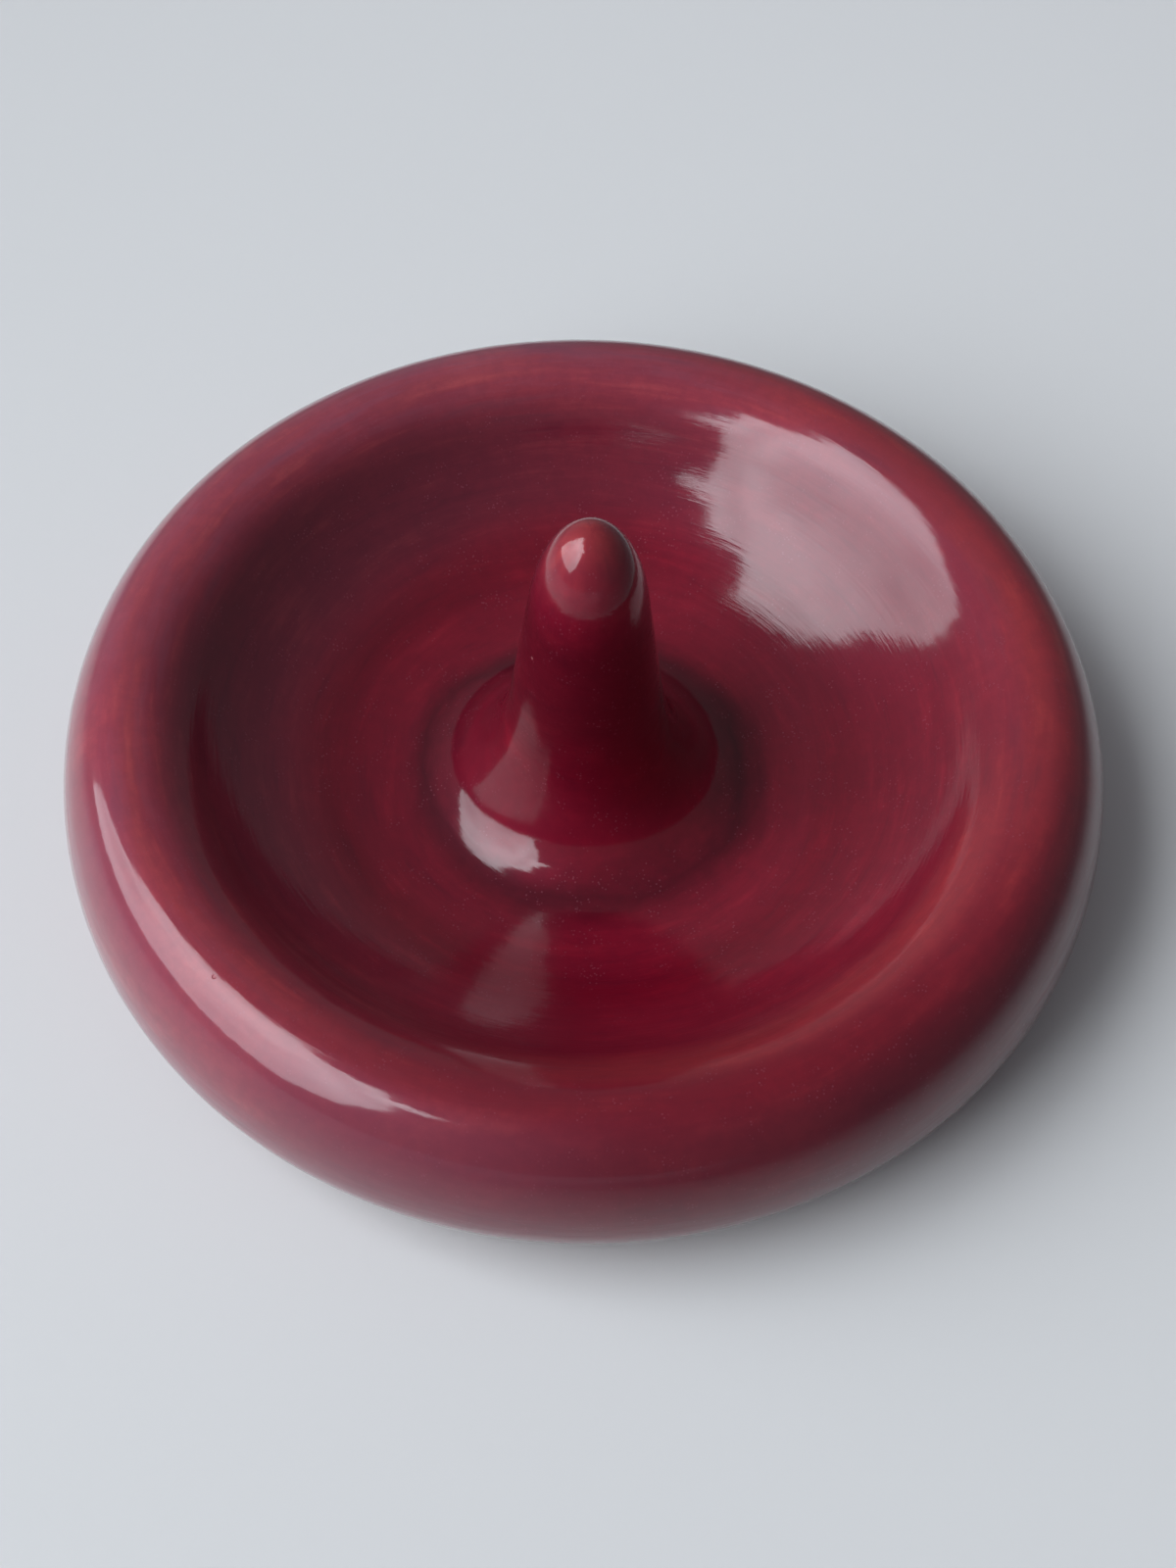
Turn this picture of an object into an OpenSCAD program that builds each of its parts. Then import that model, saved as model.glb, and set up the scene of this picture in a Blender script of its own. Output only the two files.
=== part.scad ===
// Ring dish: a round glazed bowl with a fat rolled rim, and a tall cone that stands on its floor.
// Origin at the centre of the foot on the table, +Z up. Millimetres.

/* [Bowl] */
// Widest diameter, across the belly
dish_d = 118; // [110:1:140]
// Height of the widest line above the table
belly_z = 10.8; // [8:0.1:16]
// How far the belly turns in under the widest line
belly_turn = 9.2; // [5:0.1:11]
// Height of the floor above the table, at the lowest line of the trough round the cone
floor_z = 7.6; // [5:0.1:9]
// Diameter of that lowest line
trough_d = 40; // [34:1:46]

/* [Rim] */
// Height of the rim's crest above the widest line
crest_rise = 12.8; // [10:0.1:16]
// Distance from the widest line in to the crest
crest_inset = 7.8; // [6:0.1:10]
// Distance from the crest in to the steepest line of the wall
wall_inset = 8.2; // [7:0.1:10]
// Drop from the crest to that steepest line
wall_drop = 4.8; // [3:0.1:6]
// Slope of the wall there, in degrees
wall_slope = 50; // [46:1:60]

/* [Foot] */
// Outer diameter of the turned foot ring
foot_d = 84; // [72:1:88]
// Width of the foot ring
foot_w = 5; // [3:0.1:8]
// Height of the belly's underside above the table
foot_h = 1.6; // [1:0.1:2.5]
// Height of the turned-out base panel inside the foot ring
recess_h = 2.2; // [1.2:0.1:3.2]
// Radius of the foot ring's wiped edges
foot_edge = 0.5; // [0.2:0.1:0.9]

/* [Cone] */
// Height of the cone's tip above the floor
cone_h = 43.1; // [36:0.1:56]
// Diameter of the cone where its flare begins
neck_d = 16.5; // [15:0.1:20]
// Lean of the cone's flank from upright, in degrees
flank_lean = 7.2; // [5:0.1:9]
// Height of the rounded nose
nose_h = 11; // [7:0.5:15]
// Height at which the flank begins to flare out, above the floor
flare_h = 17.2; // [12:0.1:20]
// Where down the flare the cone is luted to the bowl, from 0 at its top to 1 at the floor
joint_share = 0.55; // [0.35:0.05:0.7]

/* [Hidden] */

glaze = [0.50, 0.06, 0.10];

// Share of the way to its corner that a bend's handles reach: a quarter ellipse is 0.5523,
// less is slacker and more turns tightly at the corner
round_reach = 0.5523;
lip_reach = 0.72;
sweep_reach = 0.58;
nose_reach = 0.62;
flare_reach = 0.70;

// Steps along one bend, and facets round the axis
bend_steps = 16;
around = 180;

dish_r = dish_d / 2;
foot_r = foot_d / 2;
trough_r = trough_d / 2;
neck_r = neck_d / 2;

crest = [dish_r - crest_inset, belly_z + crest_rise];
wall = crest - [wall_inset, wall_drop];
trough = [trough_r, floor_z];
neck = [neck_r, floor_z + flare_h];
tip = [0, floor_z + cone_h];
nose = [neck_r - (cone_h - nose_h - flare_h) * tan(flank_lean), tip[1] - nose_h];

// Where the wall's steepest tangent meets the level of the crest and the level of the floor
lip_corner = [wall[0] + wall_drop / tan(wall_slope), crest[1]];
sweep_corner = [wall[0] - (wall[1] - floor_z) / tan(wall_slope), floor_z];

// Where the line of the flank meets the level of the tip and the level of the floor
nose_corner = [nose[0] - nose_h * tan(flank_lean), tip[1]];
flare_corner = [neck_r + flare_h * tan(flank_lean), floor_z];

// Points of a smooth bend from p to q whose two tangents meet at the corner, or of a part of it
function bend(p, corner, q, reach = round_reach, from = 0, to = 1) =
    let (a = p + reach * (corner - p), b = q + reach * (corner - q))
    [for (i = [0 : bend_steps]) let (t = from + (to - from) * i / bend_steps, s = 1 - t)
        s * s * s * p + 3 * s * s * t * a + 3 * s * t * t * b + t * t * t * q];

// Small round on an edge at a corner, reached along one direction and left along another
function edge_round(corner, before, after) =
    bend(corner - foot_edge * before, corner, corner + foot_edge * after);

// One flare runs from the flank to the trough, and the luted joint divides it between the pieces
function flare(from, to) = bend(neck, flare_corner, trough, flare_reach, from, to);
joint = flare(joint_share, 1)[0];

// Turned foot: base panel, then down, along and up the ring that the dish stands on
foot_outline = concat(
    [[0, recess_h], [foot_r - foot_w, recess_h]],
    edge_round([foot_r - foot_w, 0], [0, -1], [1, 0]),
    edge_round([foot_r, 0], [1, 0], [0, 1]),
    [[foot_r, foot_h]]
);

// Belly and rolled rim, from under the belly to the crest
rim_outline = concat(
    bend([dish_r - belly_turn, foot_h], [dish_r, foot_h], [dish_r, belly_z]),
    bend([dish_r, belly_z], [dish_r, crest[1]], crest)
);

// Inside of the bowl: lip, wall and floor in one S, then up the flare to the joint
inside_outline = concat(
    bend(crest, lip_corner, wall, lip_reach),
    bend(wall, sweep_corner, trough, sweep_reach),
    [for (i = [bend_steps : -1 : 0]) flare(joint_share, 1)[i]],
    [[0, joint[1]]]
);

// Cone: rounded nose, straight flank and the upper part of the flare, down to the joint
cone_outline = concat(
    bend(tip, nose_corner, nose, nose_reach),
    flare(0, joint_share),
    [[0, joint[1]]]
);

module bowl() {
    color(glaze)
        rotate_extrude($fn = around)
            polygon(concat(foot_outline, rim_outline, inside_outline));
}

module cone() {
    color(glaze)
        rotate_extrude($fn = around)
            polygon(cone_outline);
}

bowl();
cone();
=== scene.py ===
"""Looks of the ring dish: a glazed bowl with a fat rolled rim and a tall cone, on a pale floor."""
import math

import bpy
import numpy as np
from mathutils import Matrix, Vector


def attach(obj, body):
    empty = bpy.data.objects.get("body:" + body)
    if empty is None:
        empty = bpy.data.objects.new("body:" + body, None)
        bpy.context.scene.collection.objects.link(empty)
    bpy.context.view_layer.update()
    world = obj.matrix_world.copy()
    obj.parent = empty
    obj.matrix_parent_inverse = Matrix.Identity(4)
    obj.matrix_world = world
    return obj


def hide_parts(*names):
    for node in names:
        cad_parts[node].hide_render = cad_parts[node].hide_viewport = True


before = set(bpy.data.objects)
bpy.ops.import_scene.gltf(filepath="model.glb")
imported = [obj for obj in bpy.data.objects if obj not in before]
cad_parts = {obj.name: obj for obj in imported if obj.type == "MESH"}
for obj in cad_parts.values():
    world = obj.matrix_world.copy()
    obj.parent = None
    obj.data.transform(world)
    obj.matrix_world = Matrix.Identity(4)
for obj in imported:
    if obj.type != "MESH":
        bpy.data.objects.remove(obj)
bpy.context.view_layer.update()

MM = 0.001

# Sizes of the dish in millimetres, the same as in the CAD model
DISH_R = 59.0
BELLY_Z = 10.8
BELLY_TURN = 9.2
FLOOR_Z = 7.6
TROUGH_R = 20.0
CREST = (51.2, 23.6)
WALL = (43.0, 18.8)
WALL_SLOPE = 50.0
FOOT_R = 42.0
FOOT_W = 5.0
FOOT_H = 1.6
RECESS_H = 2.2
CONE_H = 43.1
NECK_R = 8.25
FLANK_LEAN = 7.2
NOSE_H = 11.0
FLARE_H = 17.2
JOINT_SHARE = 0.55

AROUND = 320


def tan(degrees):
    return math.tan(math.radians(degrees))


def bend(p, corner, q, reach, steps, start=0.0, end=1.0):
    """Points of a smooth bend from p to q whose tangents meet at the corner."""
    p, corner, q = (np.array(v, float) for v in (p, corner, q))
    a = p + reach * (corner - p)
    b = q + reach * (corner - q)
    t = np.linspace(start, end, steps + 1)[:, None]
    s = 1 - t
    return s ** 3 * p + 3 * s * s * t * a + 3 * s * t * t * b + t ** 3 * q


def straight(p, q, steps):
    t = np.linspace(0, 1, steps + 1)[:, None]
    return np.array(p, float) * (1 - t) + np.array(q, float) * t


def outline():
    """The whole outline in millimetres, from the middle of the underside to the tip.

    Returns the points and the row at which the cone is joined to the bowl."""
    in_r = FOOT_R - FOOT_W
    tip = (0.0, FLOOR_Z + CONE_H)
    neck = (NECK_R, FLOOR_Z + FLARE_H)
    nose_r = NECK_R - (CONE_H - NOSE_H - FLARE_H) * tan(FLANK_LEAN)
    nose = (nose_r, tip[1] - NOSE_H)
    trough = (TROUGH_R, FLOOR_Z)
    lip_corner = (WALL[0] + (CREST[1] - WALL[1]) / tan(WALL_SLOPE), CREST[1])
    sweep_corner = (WALL[0] - (WALL[1] - FLOOR_Z) / tan(WALL_SLOPE), FLOOR_Z)
    nose_corner = (nose_r - NOSE_H * tan(FLANK_LEAN), tip[1])
    flare_corner = (NECK_R + FLARE_H * tan(FLANK_LEAN), FLOOR_Z)
    bowl = [
        straight((0.0, RECESS_H), (in_r - 0.6, RECESS_H), 24),
        bend((in_r - 0.6, RECESS_H), (in_r, RECESS_H), (in_r, RECESS_H - 0.6), 0.55, 6),
        bend((in_r, 0.55), (in_r, 0.0), (in_r + 0.55, 0.0), 0.55, 8),
        straight((in_r + 0.55, 0.0), (FOOT_R - 0.55, 0.0), 6),
        bend((FOOT_R - 0.55, 0.0), (FOOT_R, 0.0), (FOOT_R, 0.55), 0.55, 8),
        bend((FOOT_R, FOOT_H - 0.4), (FOOT_R, FOOT_H), (FOOT_R + 0.4, FOOT_H), 0.55, 6),
        straight((FOOT_R + 0.4, FOOT_H), (DISH_R - BELLY_TURN, FOOT_H), 8),
        bend((DISH_R - BELLY_TURN, FOOT_H), (DISH_R, FOOT_H), (DISH_R, BELLY_Z), 0.5523, 26),
        bend((DISH_R, BELLY_Z), (DISH_R, CREST[1]), CREST, 0.5523, 32),
        bend(CREST, lip_corner, WALL, 0.72, 36),
        bend(WALL, sweep_corner, trough, 0.58, 44),
        bend(neck, flare_corner, trough, 0.70, 26, 1.0, JOINT_SHARE),
    ]
    cone = [
        bend(neck, flare_corner, trough, 0.70, 30, JOINT_SHARE, 0.0),
        straight(neck, nose, 14),
        bend(nose, nose_corner, tip, 0.62, 40),
    ]
    rows = []
    for part in bowl + cone:
        rows.extend(part if not rows else [p for p in part if np.hypot(*(p - rows[-1])) > 1e-6])
        if part is bowl[-1]:
            joint = len(rows) - 1
    return np.array(rows), joint


def surface(rows):
    """Positions and normals of the turned surface, with the slight unevenness of hand work."""
    turn = np.arange(AROUND) / AROUND * 2 * math.pi
    r = rows[:, 0][:, None] * np.ones(AROUND)
    z = rows[:, 1][:, None] * np.ones(AROUND)
    height = np.clip((z - 2.5) / 20.0, 0, 1)
    wide = np.clip(r / DISH_R, 0, 1)
    wave = 0.5 * np.sin(2 * turn + 0.7) + 0.3 * np.sin(3 * turn + 2.1) + 0.2 * np.sin(5 * turn + 4.0)
    lift = 0.6 * np.sin(turn + 1.1) + 0.4 * np.sin(2 * turn + 3.0)
    ripple = np.sin(rows[:, 0] * 1.1 + rows[:, 1] * 0.8)[:, None] * np.sin(3 * turn + 0.4)
    r = r * (1 - 0.0016 * height * (1 + wave)) + 0.015 * ripple * height
    z = z + 0.10 * height * wide * (lift - 1)
    r = np.minimum(r, DISH_R)
    pos = np.stack([r * np.cos(turn), r * np.sin(turn), z], -1)
    along = np.gradient(pos, axis=0)
    around = (np.roll(pos, -1, 1) - np.roll(pos, 1, 1)) / 2
    normal = np.cross(around, along)
    length = np.linalg.norm(normal, axis=2, keepdims=True)
    normal = normal / np.maximum(length, 1e-9)
    normal[0] = (0, 0, -1)
    normal[-1] = (0, 0, 1)
    return pos * MM, normal


def turned(name, pos, normal, first_pole, last_pole):
    """A mesh from rows of the turned surface, with one vertex where a row closes on the axis."""
    verts = []
    norms = []
    index = []
    for i in range(len(pos)):
        pole = (i == 0 and first_pole) or (i == len(pos) - 1 and last_pole)
        if pole:
            index.append([len(verts)] * AROUND)
            verts.append(pos[i].mean(0))
            norms.append(normal[i][0])
        else:
            index.append(list(range(len(verts), len(verts) + AROUND)))
            verts.extend(pos[i])
            norms.extend(normal[i])
    faces = []
    for i in range(len(pos) - 1):
        a, b = index[i], index[i + 1]
        for j in range(AROUND):
            k = (j + 1) % AROUND
            ring = [a[j], a[k], b[k], b[j]]
            faces.append([v for n, v in enumerate(ring) if v not in ring[:n]])
    mesh = bpy.data.meshes.new(name)
    mesh.from_pydata([tuple(v) for v in verts], [], faces)
    mesh.shade_smooth()
    mesh.validate()
    mesh.normals_split_custom_set_from_vertices([tuple(n) for n in norms])
    obj = bpy.data.objects.new(name, mesh)
    bpy.context.scene.collection.objects.link(obj)
    return obj


class Nodes:
    """Short hand for building a material's node tree."""

    def __init__(self, tree):
        self.tree = tree

    def add(self, kind, **settings):
        inputs = settings.pop("inputs", {})
        node = self.tree.nodes.new(kind)
        for key, value in settings.items():
            setattr(node, key, value)
        for key, value in inputs.items():
            if hasattr(value, "is_output"):
                self.tree.links.new(value, node.inputs[key])
            else:
                node.inputs[key].default_value = value
        return node

    def math(self, operation, a, b=None, c=None, clamp=False):
        values = {i: v for i, v in enumerate((a, b, c)) if v is not None}
        return self.add("ShaderNodeMath", operation=operation, use_clamp=clamp, inputs=values).outputs[0]

    def band(self, value, low, high, to_low=0.0, to_high=1.0):
        ins = {"Value": value, "From Min": low, "From Max": high, "To Min": to_low, "To Max": to_high}
        return self.add("ShaderNodeMapRange", interpolation_type="SMOOTHSTEP", inputs=ins).outputs[0]

    def noise(self, vector, scale, detail=3.0, rough=0.5):
        ins = {"Vector": vector, "Scale": scale, "Detail": detail, "Roughness": rough}
        return self.add("ShaderNodeTexNoise", inputs=ins).outputs["Fac"]

    def mix(self, factor, a, b, blend="MIX"):
        node = self.add("ShaderNodeMix", data_type="RGBA", blend_type=blend)
        for socket, value in ((node.inputs[0], factor), (node.inputs[6], a), (node.inputs[7], b)):
            if hasattr(value, "is_output"):
                self.tree.links.new(value, socket)
            else:
                socket.default_value = value
        return node.outputs[2]

    def ramp(self, value, stops):
        node = self.add("ShaderNodeValToRGB", inputs={"Fac": value})
        ramp = node.color_ramp
        while len(ramp.elements) < len(stops):
            ramp.elements.new(0.5)
        for element, (place, colour) in zip(ramp.elements, stops):
            element.position = place
            element.color = (*colour, 1.0)
        return node.outputs["Color"]


# Glaze colours, from thin over a raised form to pooled in a hollow
EMBER = (0.262, 0.024, 0.030)
THIN = (0.205, 0.012, 0.024)
WARM = (0.190, 0.010, 0.022)
BODY = (0.160, 0.0045, 0.016)
DEEP = (0.134, 0.002, 0.011)
POOL = (0.070, 0.001, 0.007)
# Not glaze colours: the mauve below is painted reflection of the pale room and table, and the dusk after the
# wine is painted shade
PAINTED_REFLECTION = (0.262, 0.060, 0.092)
WINE = (0.152, 0.006, 0.015)
PAINTED_SHADE = (0.108, 0.012, 0.024)
CORE = (0.100, 0.003, 0.010)
CLAY = (0.42, 0.33, 0.25)


def glaze(name, stops, span):
    """Brushed translucent glaze, with painted light, painted shade and painted reflections round the rim. stops
    gives its colour by place along span, a run of millimetres.
    """
    material = bpy.data.materials.new(name)
    material.use_nodes = True
    n = Nodes(material.node_tree)
    shader = material.node_tree.nodes["Principled BSDF"]

    place = n.add("ShaderNodeTexCoord").outputs["Object"]
    xyz = n.add("ShaderNodeSeparateXYZ", inputs={0: place})
    x, y, z = (n.math("MULTIPLY", xyz.outputs[i], 1000.0) for i in range(3))
    radius = n.math("SQRT", n.math("ADD", n.math("MULTIPLY", x, x), n.math("MULTIPLY", y, y)))
    safe = n.math("MAXIMUM", radius, 0.5)
    cosine = n.math("DIVIDE", x, safe)
    sine = n.math("DIVIDE", y, safe)

    # Streaks run round the axis, as the brush did while the dish turned
    run = n.math("ADD", radius, n.math("MULTIPLY", z, 0.7))
    spread = n.math("MULTIPLY_ADD", radius, 0.016, 0.35)
    round_x = n.math("MULTIPLY", cosine, spread)
    round_y = n.math("MULTIPLY", sine, spread)

    def streaks(around, across, detail, rough):
        ins = {
            0: n.math("MULTIPLY", round_x, around),
            1: n.math("MULTIPLY", round_y, around),
            2: n.math("MULTIPLY", run, across),
        }
        vector = n.add("ShaderNodeCombineXYZ", inputs=ins).outputs[0]
        return n.noise(vector, 1.0, detail, rough)

    broad = streaks(1.6, 0.16, 4.0, 0.55)
    brush = streaks(3.2, 0.52, 5.0, 0.58)
    hair = streaks(5.0, 2.2, 3.0, 0.6)
    cloud = n.noise(place, 38.0, 4.0, 0.6)

    # Place along the outline, pushed about by the broad streaks, picks the glaze's thickness
    by_radius = radius if span == "radius" else z
    pushed = n.math("ADD", by_radius, n.math("MULTIPLY", n.math("SUBTRACT", broad, 0.5), 9.0))
    low, high = (0.0, 60.0) if span == "radius" else (8.0, 52.0)
    share = n.math("DIVIDE", n.math("SUBTRACT", pushed, low), high - low, clamp=True)
    colour = n.ramp(share, [((mm - low) / (high - low), c) for mm, c in stops])

    # Round the rim the colour changes by side: darker wine towards the front, under painted light, painted
    # shade and painted reflections
    rim = n.band(radius, 40.0, 51.0)
    to_back = n.math("MULTIPLY_ADD", sine, 0.433, n.math("MULTIPLY_ADD", cosine, -0.25, 0.5))
    to_left = n.math("MULTIPLY", n.math("MAXIMUM", n.math("MULTIPLY", cosine, -1.0), 0.0), 0.22)
    to_front = n.math("MULTIPLY_ADD", sine, -0.906, n.math("MULTIPLY", cosine, 0.423))
    # Painted reflection of the pale room: milky at the back of the rim and on the inner wall to the left
    painted_room_reflection = n.math("MULTIPLY", n.math("MULTIPLY", to_back, rim), n.band(brush, 0.30, 0.62, 0.85, 0.45))
    painted_room_reflection = n.math("MAXIMUM", painted_room_reflection, n.math("MULTIPLY", to_left, n.band(radius, 27.0, 37.0)))
    deep = n.math("MULTIPLY", n.math("MAXIMUM", to_front, 0.0), rim)
    # Painted light: the rim warmer and lighter on the right, where the window light falls
    to_right = n.math("MULTIPLY_ADD", cosine, 0.90, n.math("MULTIPLY", sine, 0.44))
    painted_light = n.math("MULTIPLY", n.band(to_right, 0.45, 1.0, 0.0, 0.70), n.band(radius, 46.0, 51.0))
    # Painted shade on the inner wall at the back left, which faces away from the window
    wall = n.math("MULTIPLY", n.band(radius, 32.0, 38.0), n.band(radius, 48.0, 43.0))
    shade = n.math("MULTIPLY", wall, n.math("MULTIPLY_ADD", sine, 0.42, n.math("MULTIPLY_ADD", cosine, -0.42, 0.22), True))
    colour = n.mix(deep, colour, (*WINE, 1.0))
    colour = n.mix(painted_room_reflection, colour, (*PAINTED_REFLECTION, 1.0))
    # Painted highlight on the inner lip at the front right, partly thin glaze on the edge
    lip = n.math("MULTIPLY", n.band(radius, 41.5, 44.5), n.band(radius, 49.5, 46.5))
    lip_side = n.math("MULTIPLY_ADD", sine, -0.82, n.math("MULTIPLY", cosine, 0.57))
    painted_light = n.math("MAXIMUM", painted_light, n.math("MULTIPLY", lip, n.band(lip_side, 0.55, 0.90, 0.0, 0.60)))
    # Painted shade low on the outer belly in front
    painted_belly_shade = n.math("MULTIPLY", n.band(radius, 51.0, 56.0, 0.0, 0.48), n.math("MAXIMUM", to_front, 0.0))
    # Painted reflection of the table on the outer rim at the front left
    corner = n.math("MULTIPLY_ADD", sine, -0.82, n.math("MULTIPLY", cosine, -0.57))
    corner = n.math("MULTIPLY", n.band(corner, 0.72, 1.0, 0.0, 0.34), n.band(radius, 51.0, 55.0))
    colour = n.mix(painted_light, colour, (*EMBER, 1.0))
    colour = n.mix(n.math("MAXIMUM", shade, painted_belly_shade), colour, (*PAINTED_SHADE, 1.0))
    colour = n.mix(corner, colour, (*PAINTED_REFLECTION, 1.0))

    thin = n.mix(1.0, colour, (1.45, 1.80, 1.35, 1.0), "MULTIPLY")
    thick = n.mix(1.0, colour, (0.66, 0.80, 0.85, 1.0), "MULTIPLY")
    colour = n.mix(n.band(brush, 0.50, 0.78, 0.0, 0.80), colour, thin)
    colour = n.mix(n.band(brush, 0.46, 0.24, 0.0, 0.75), colour, thick)
    colour = n.mix(n.band(hair, 0.55, 0.80, 0.0, 0.22), colour, thin)
    colour = n.mix(n.band(cloud, 0.62, 0.38, 0.0, 0.34), colour, thick)
    colour = n.mix(n.band(cloud, 0.52, 0.72, 0.0, 0.22), colour, thin)
    mottle = n.noise(place, 650.0, 3.0, 0.7)
    colour = n.mix(n.band(mottle, 0.62, 0.36, 0.0, 0.26), colour, thick)

    # Fine mineral grains in the glaze, and a few pinholes
    grain = n.add("ShaderNodeTexVoronoi", inputs={"Vector": place, "Scale": 2100.0})
    grain_dot = n.band(grain.outputs["Distance"], 0.30, 0.12)
    grain_pick = n.band(n.noise(place, 420.0, 2.0, 0.5), 0.50, 0.64)
    grains = n.math("MULTIPLY", grain_dot, grain_pick)
    colour = n.mix(n.math("MULTIPLY", grains, 0.38), colour, (0.24, 0.055, 0.085, 1.0))
    pin = n.add("ShaderNodeTexVoronoi", inputs={"Vector": place, "Scale": 190.0})
    pin_dot = n.band(pin.outputs["Distance"], 0.055, 0.030)
    pin_pick = n.band(n.add("ShaderNodeSeparateColor", inputs={0: pin.outputs["Color"]}).outputs[0], 0.88, 0.90)
    pins = n.math("MULTIPLY", pin_dot, pin_pick)
    colour = n.mix(n.math("MULTIPLY", pins, 0.55), colour, (0.36, 0.12, 0.13, 1.0))

    # Under the dish the glaze stops at an uneven line above the foot, and the clay is bare
    edge = n.math("MULTIPLY", n.math("SUBTRACT", cloud, 0.5), 1.2)
    bare_low = n.band(n.math("ADD", z, edge), 1.15, 0.95)
    bare = n.math("MULTIPLY", bare_low, n.band(radius, 46.0, 44.0))
    clay = n.mix(n.noise(place, 900.0, 3.0, 0.7), (*CLAY, 1.0), (0.25, 0.18, 0.13, 1.0))
    colour = n.mix(bare, colour, clay)

    rough = n.math("MULTIPLY_ADD", n.band(hair, 0.35, 0.75), 0.08, 0.33)
    rough = n.math("MAXIMUM", rough, n.math("MULTIPLY", bare, 0.75))
    gloss = n.math("SUBTRACT", 1.0, n.math("MAXIMUM", bare, n.math("MULTIPLY", pins, 0.5)))

    # Relief: a soft orange peel, faint turning marks and the pinholes' pits
    peel = n.noise(place, 210.0, 2.0, 0.5)
    relief = n.math("MULTIPLY", peel, 0.025)
    relief = n.math("MULTIPLY_ADD", brush, 0.035, relief)
    relief = n.math("MULTIPLY_ADD", hair, 0.014, relief)
    relief = n.math("MULTIPLY_ADD", pins, -0.05, relief)
    grit = n.math("MULTIPLY", n.noise(place, 1500.0, 2.0, 0.6), 0.05)
    relief = n.math("MULTIPLY_ADD", bare, grit, relief)
    bump = n.add("ShaderNodeBump", inputs={"Strength": 1.0, "Distance": 0.001, "Height": relief})

    tree = material.node_tree
    tree.links.new(colour, shader.inputs["Base Color"])
    tree.links.new(rough, shader.inputs["Roughness"])
    tree.links.new(bump.outputs[0], shader.inputs["Normal"])
    tree.links.new(gloss, shader.inputs["Coat Weight"])
    tree.links.new(bump.outputs[0], shader.inputs["Coat Normal"])
    shader.inputs["Coat Roughness"].default_value = 0.09
    shader.inputs["Coat IOR"].default_value = 1.5
    shader.inputs["Specular IOR Level"].default_value = 0.18
    shader.inputs["Specular Tint"].default_value = (1.0, 0.10, 0.26, 1.0)
    return material


bowl_glaze = glaze("bowl_glaze", [
    (9, BODY), (14.5, BODY), (18, POOL), (22, BODY), (26, BODY), (30, DEEP), (37, BODY), (41, BODY),
    (45, WARM), (48, THIN), (50.5, EMBER), (53, THIN), (56, WARM), (59.5, WARM),
], "radius")
cone_glaze = glaze("cone_glaze", [
    (8, BODY), (14, BODY), (20, DEEP), (26, CORE), (38, CORE), (43, BODY), (48, WARM), (51.5, EMBER),
], "height")

rows, joint = outline()
pos, normal = surface(rows)
bowl = turned("bowl_turned", pos[:joint + 1], normal[:joint + 1], True, False)
cone = turned("cone_turned", pos[joint:], normal[joint:], False, True)
for piece, node, material in ((bowl, "bowl", bowl_glaze), (cone, "cone", cone_glaze)):
    piece.data.materials.append(material)
    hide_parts(node)
    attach(piece, "root")


def floor():
    """A pale painted table, with painted shade towards the window at the left and front that evens out its
    daylight. Reflections see its edge close behind the dish; the camera sees it go on.
    """
    mesh = bpy.data.meshes.new("floor")
    ring = [(0.9 * math.cos(i * math.pi / 48), 0.9 * math.sin(i * math.pi / 48), 0.0) for i in range(96)]
    mesh.from_pydata(ring, [], [list(range(96))])
    obj = bpy.data.objects.new("floor", mesh)
    bpy.context.scene.collection.objects.link(obj)
    material = bpy.data.materials.new("floor")
    material.use_nodes = True
    n = Nodes(material.node_tree)
    shader = material.node_tree.nodes["Principled BSDF"]
    place = n.add("ShaderNodeTexCoord").outputs["Object"]
    xyz = n.add("ShaderNodeSeparateXYZ", inputs={0: place})
    x, y = xyz.outputs[0], xyz.outputs[1]
    off_x = n.math("ADD", x, 0.035)
    off_y = n.math("ADD", y, -0.02)
    distance = n.math("SQRT", n.math("ADD", n.math("MULTIPLY", off_x, off_x), n.math("MULTIPLY", off_y, off_y)))
    seen = n.add("ShaderNodeLightPath").outputs["Is Camera Ray"]
    beyond = n.math("MULTIPLY", n.band(distance, 0.08, 0.18), n.math("SUBTRACT", 1.0, seen))
    # Painted shade: the paint darker towards the window and paler at the back right, which evens out the
    # daylight
    across = n.math("MULTIPLY_ADD", x, 0.62, n.math("MULTIPLY", y, 0.48))
    even = n.band(across, -0.18, 0.18, 0.565, 0.80)
    grey = n.add("ShaderNodeCombineColor", inputs={0: even, 1: even, 2: even}).outputs[0]
    paint = n.mix(1.0, (0.99, 0.985, 0.985, 1.0), grey, "MULTIPLY")
    before = n.math("MULTIPLY_ADD", x, -0.8, n.math("MULTIPLY", y, -0.6))
    far = n.mix(n.band(before, 0.03, 0.15), (0.15, 0.152, 0.165, 1.0), (0.34, 0.345, 0.385, 1.0))
    colour = n.mix(beyond, paint, far)
    material.node_tree.links.new(colour, shader.inputs["Base Color"])
    shader.inputs["Roughness"].default_value = 0.6
    obj.data.materials.append(material)


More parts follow.
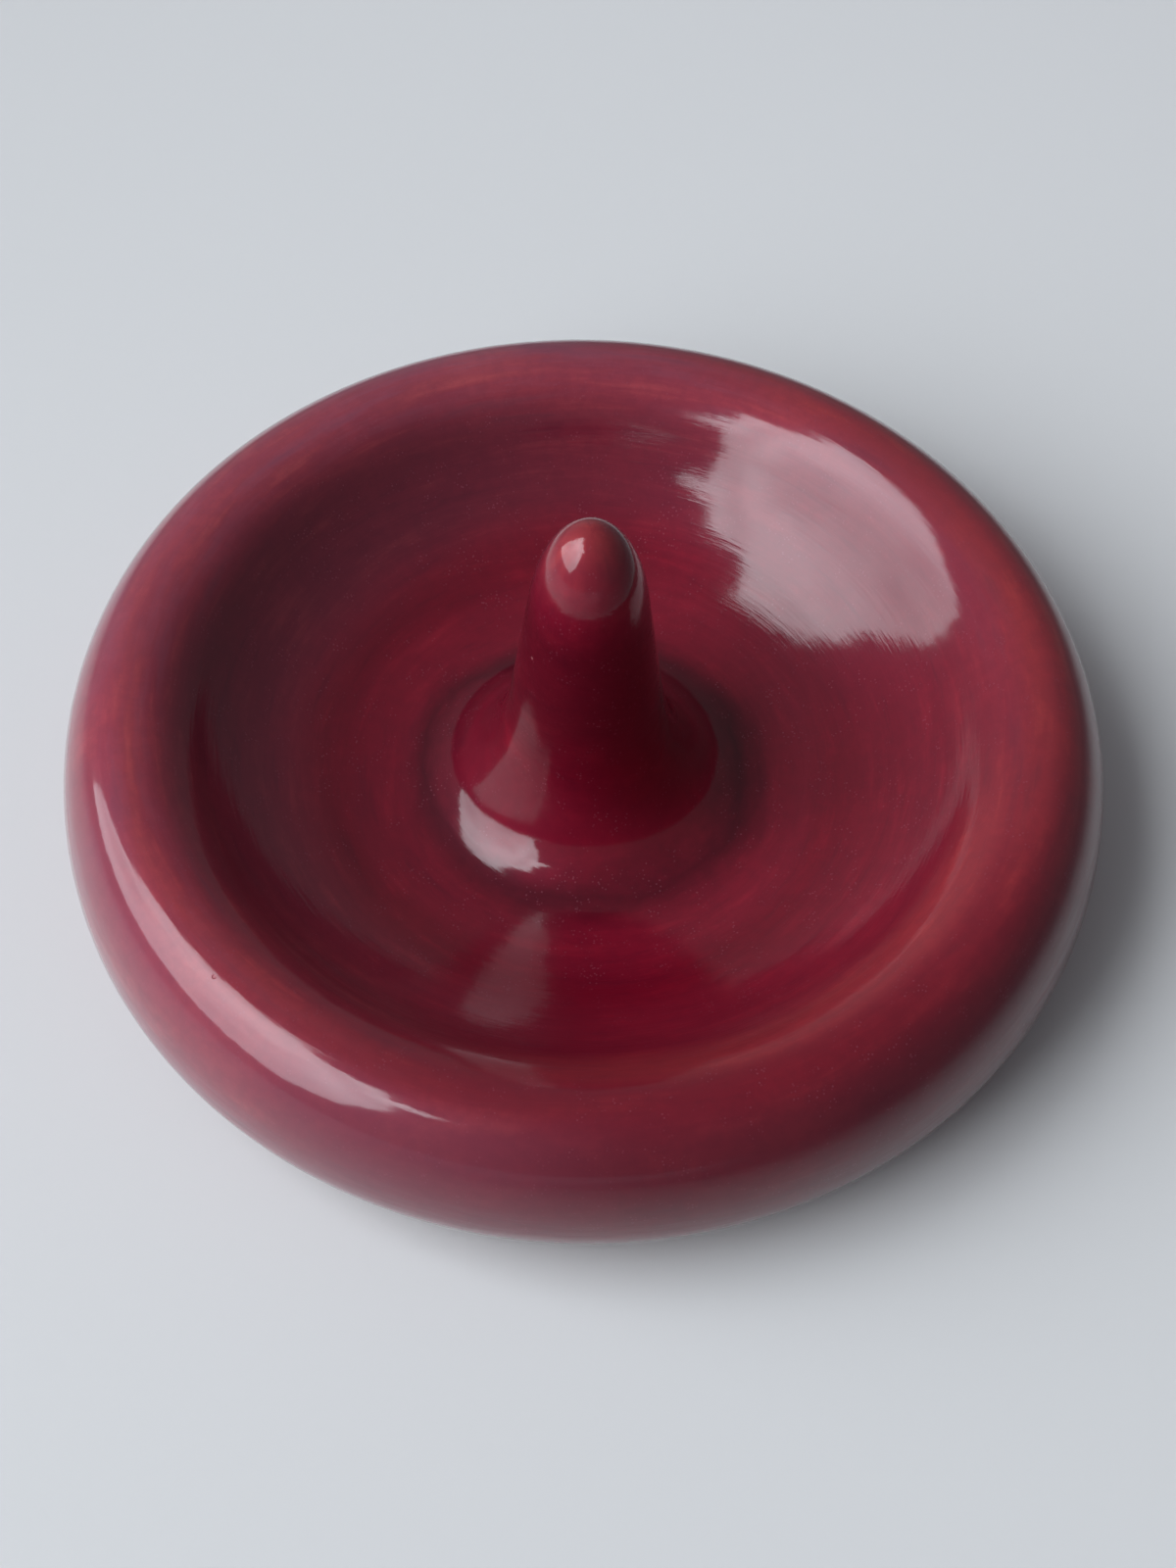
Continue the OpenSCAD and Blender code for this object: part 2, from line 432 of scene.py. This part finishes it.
def window(radiance):
    """Daylight from the left, in a plane beside the dish, with an uneven edge."""
    side = -0.50
    edge = [(0.16, 0.09), (0.17, 0.25), (0.13, 0.44), (0.18, 0.72), (0.22, 0.95), (0.20, 1.20),
            (0.12, 1.55), (0.04, 1.28), (-0.05, 1.17), (-0.19, 1.06), (-0.30, 1.18), (-0.41, 1.30),
            (-0.53, 1.05), (-0.68, 1.16), (-0.96, 1.31), (-0.88, 1.10), (-0.66, 0.90), (-0.72, 0.64),
            (-0.66, 0.45), (-0.58, 0.25), (-0.42, 0.12)]
    mesh = bpy.data.meshes.new("window")
    mesh.from_pydata([(side, y, z) for y, z in edge], [], [list(range(len(edge)))])
    obj = bpy.data.objects.new("window", mesh)
    bpy.context.scene.collection.objects.link(obj)
    material = bpy.data.materials.new("window")
    material.use_nodes = True
    tree = material.node_tree
    tree.nodes.clear()
    n = Nodes(tree)
    place = n.add("ShaderNodeTexCoord").outputs["Object"]
    height = n.add("ShaderNodeSeparateXYZ", inputs={0: place}).outputs[2]
    sky = n.band(height, 0.20, 0.62, 0.78, 1.20)
    patch = n.band(n.noise(place, 3.5, 3.0, 0.5), 0.35, 0.65, 0.82, 1.08)
    strength = n.math("MULTIPLY", n.math("MULTIPLY", sky, patch), radiance)
    glow = n.add("ShaderNodeEmission", inputs={"Color": (0.91, 0.965, 1.02, 1.0), "Strength": strength})
    out = n.add("ShaderNodeOutputMaterial")
    tree.links.new(glow.outputs[0], out.inputs["Surface"])
    obj.data.materials.append(material)
    obj.visible_camera = False


def room():
    """The world: a dim room, less dim towards the window, and pale to the camera."""
    world = bpy.data.worlds.new("room")
    bpy.context.scene.world = world
    world.use_nodes = True
    tree = world.node_tree
    tree.nodes.clear()
    n = Nodes(tree)
    way = n.add("ShaderNodeTexCoord").outputs["Generated"]
    right = n.add("ShaderNodeSeparateXYZ", inputs={0: way}).outputs[0]
    share = n.math("MULTIPLY_ADD", right, 0.5, 0.5)
    level = n.ramp(share, [(0.0, (0.30, 0.31, 0.34)), (0.28, (0.25, 0.26, 0.28)),
                           (0.52, (0.17, 0.172, 0.185)), (1.0, (0.14, 0.142, 0.155))])
    seen = n.add("ShaderNodeLightPath").outputs["Is Camera Ray"]
    colour = n.mix(seen, level, (0.60, 0.62, 0.64, 1.0))
    back = n.add("ShaderNodeBackground", inputs={"Color": colour, "Strength": 1.0})
    out = n.add("ShaderNodeOutputWorld")
    tree.links.new(back.outputs[0], out.inputs["Surface"])


def camera():
    """The photograph's viewpoint: above and in front, looking down at 56 degrees."""
    data = bpy.data.cameras.new("camera")
    data.sensor_fit = "VERTICAL"
    data.sensor_height = 36.0
    data.lens = 54.09
    data.clip_start = 0.01
    obj = bpy.data.objects.new("camera", data)
    turn = Matrix.Rotation(math.radians(-0.18), 4, "Z")
    tilt = Matrix.Rotation(math.radians(34.0), 4, "X")
    roll = Matrix.Rotation(math.radians(1.8), 4, "Z")
    obj.matrix_world = Matrix.Translation(Vector((0.0, -0.1539, 0.2331))) @ turn @ tilt @ roll
    bpy.context.scene.collection.objects.link(obj)
    bpy.context.scene.camera = obj


floor()
window(5.3)
room()
camera()

scene = bpy.context.scene
scene.view_settings.view_transform = "Standard"
